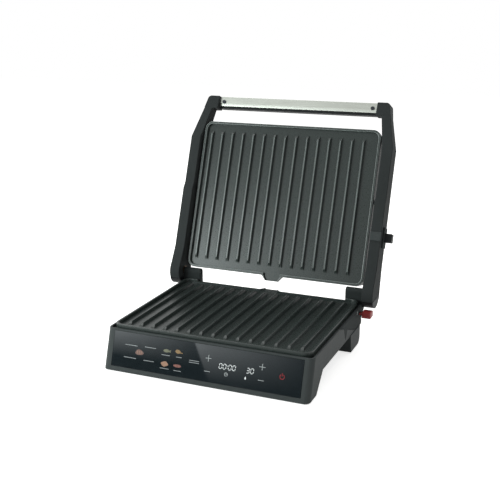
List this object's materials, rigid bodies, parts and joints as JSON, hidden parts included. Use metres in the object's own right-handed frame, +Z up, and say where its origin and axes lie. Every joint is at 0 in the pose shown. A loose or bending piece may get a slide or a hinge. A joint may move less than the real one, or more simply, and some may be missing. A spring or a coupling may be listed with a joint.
{
  "type": "contact grill",
  "caption": "Contact grill standing open: ribbed lower plate over a raked touch panel, floating ribbed upper plate between hinged side arms, bar handle, drip tray.",
  "frame": {"origin": "on the table, below the middle of the lower plate's width and near the middle of its depth", "axes": "+X to the grill's right as its user faces it, +Y to the rear, +Z up"},
  "size_m": [0.3522, 0.3859, 0.3464],
  "materials": {
    "charcoal_plastic": "satin",
    "black_plastic": "satin",
    "grey_plastic": "satin",
    "red_plastic": "satin",
    "nonstick_aluminium": "satin",
    "brushed_aluminium": "satin",
    "aluminium_sheet": "satin",
    "black_glass": "gloss",
    "display": "gloss",
    "zinc_steel": "satin",
    "black_steel": "matte",
    "element_steel": "matte",
    "bronze": "satin",
    "circuit_board": "satin",
    "terminal_plastic": "matte",
    "rubber": "matte"
  },
  "bodies": {
    "base": {"lower_plate": "nonstick_aluminium", "base_housing": "charcoal_plastic", "belly_cover": "black_steel", "cover_screws": "zinc_steel", "foot_pads": "rubber", "touch_glass": "black_glass", "touch_board": "circuit_board", "display_module": "display", "base_frame": "black_steel", "lower_reflector": "zinc_steel", "lower_heating_element": "element_steel", "lower_sensor": "zinc_steel", "power_board": "circuit_board", "terminal_block": "terminal_plastic", "cord_gland": "black_plastic", "tray_rail_right": "zinc_steel", "tray_rail_left": "zinc_steel", "hinge_tower_right": "charcoal_plastic", "hinge_tower_left": "charcoal_plastic", "hinge_pin_right": "zinc_steel", "hinge_pin_left": "zinc_steel"},
    "lid_arms": {"arm_right": "charcoal_plastic", "arm_left": "charcoal_plastic", "hinge_cap_right": "black_plastic", "hinge_cap_left": "grey_plastic", "hinge_bush_right": "bronze", "hinge_bush_left": "bronze", "handle_grip": "black_plastic", "handle_strip": "brushed_aluminium", "handle_screws": "zinc_steel", "lock_guide": "charcoal_plastic"},
    "grill_head": {"upper_plate": "nonstick_aluminium", "upper_housing": "charcoal_plastic", "lid_cover_plate": "aluminium_sheet", "pivot_pin_right": "zinc_steel", "pivot_pin_left": "zinc_steel", "upper_reflector": "aluminium_sheet", "upper_heating_element": "element_steel", "upper_sensor": "zinc_steel"},
    "lock": {"lock_button": "black_plastic"},
    "release": {"release_button": "red_plastic"},
    "tray": {"drip_tray": "black_plastic"}
  },
  "joints": [
    {"name": "lid_hinge", "type": "hinge", "parent": "base", "child": "lid_arms", "pos_m": [0, 0.128, 0.072], "axis": [-1, 0, 0], "range_deg": [-110, 70]},
    {"name": "head_float", "type": "hinge", "parent": "lid_arms", "child": "grill_head", "pos_m": [0, 0.18541, 0.19903], "axis": [-1, 0, 0], "range_deg": [-2, 2]},
    {"name": "lock_slide", "type": "slide", "parent": "lid_arms", "child": "lock", "axis": [-1, 0, 0], "range_m": [0, 0.006]},
    {"name": "release_push", "type": "slide", "parent": "base", "child": "release", "axis": [-1, 0, 0], "range_m": [0, 0.004], "stiffness_N_per_m": 500, "springref_m": -0.003},
    {"name": "tray_slide", "type": "slide", "parent": "base", "child": "tray", "axis": [0, 1, 0], "range_m": [0, 0.075]}
  ]
}
